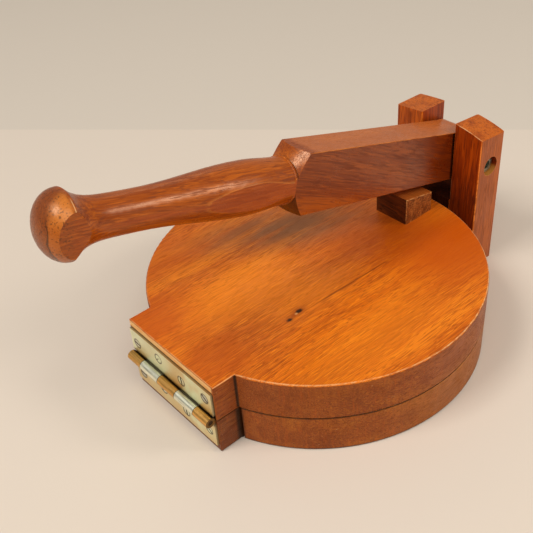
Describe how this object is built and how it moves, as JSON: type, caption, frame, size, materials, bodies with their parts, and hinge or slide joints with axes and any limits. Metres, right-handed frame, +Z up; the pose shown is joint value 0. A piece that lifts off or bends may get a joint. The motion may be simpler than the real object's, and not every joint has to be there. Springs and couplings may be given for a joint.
{
  "type": "tortilla press",
  "caption": "Wooden tortilla press: two round plates on a butt hinge, and a turned lever that swings between two posts over a wedge block.",
  "frame": {"origin": "on the underside of the bottom plate, under the centre of the round plates", "axes": "+Z up from the table, +X from the hinge towards the posts, with the lever handle pointing to -X at rest, and Y across the press"},
  "size_m": [0.2941, 0.2, 0.1657],
  "materials": {
    "plate_wood": "semi-gloss lacquer over reddish-orange hardwood",
    "post_wood": "semi-gloss lacquer over reddish-brown hardwood",
    "block_wood": "lacquered hardwood with darker end grain",
    "lever_wood": "semi-gloss lacquer, turned handle",
    "brass": "satin brass plating, slightly worn",
    "screw_brass": "dull plated screw heads",
    "steel": "dull zinc-plated steel"
  },
  "bodies": {
    "base": {"bottom_plate": "plate_wood", "near_post": "post_wood", "far_post": "post_wood", "post_spacer": "post_wood", "pivot_bolt": "steel", "near_washer": "steel", "far_washer": "steel", "pivot_nut": "steel", "hinge_lower_leaf": "brass", "hinge_pin": "brass", "lower_leaf_screws": "screw_brass", "near_post_screws": "steel", "far_post_screws": "steel"},
    "lid": {"top_plate": "plate_wood", "press_block": "block_wood", "hinge_upper_leaf": "brass", "upper_leaf_screws": "screw_brass", "block_screws": "steel"},
    "lever": {"lever": "lever_wood"}
  },
  "joints": [
    {"name": "lever_swing", "type": "hinge", "parent": "base", "child": "lever", "pos_m": [0.11975, 0, 0.0745], "axis": [0, 1, 0], "range_deg": [0, 174]},
    {"name": "lid_open", "type": "hinge", "parent": "base", "child": "lid", "pos_m": [-0.11, 0, 0.02395], "axis": [0, -1, 0], "range_deg": [0, 42]}
  ],
  "couplings": [
    {"joint": "lid_open", "follows": "lever_swing", "ratio": 0.24}
  ]
}
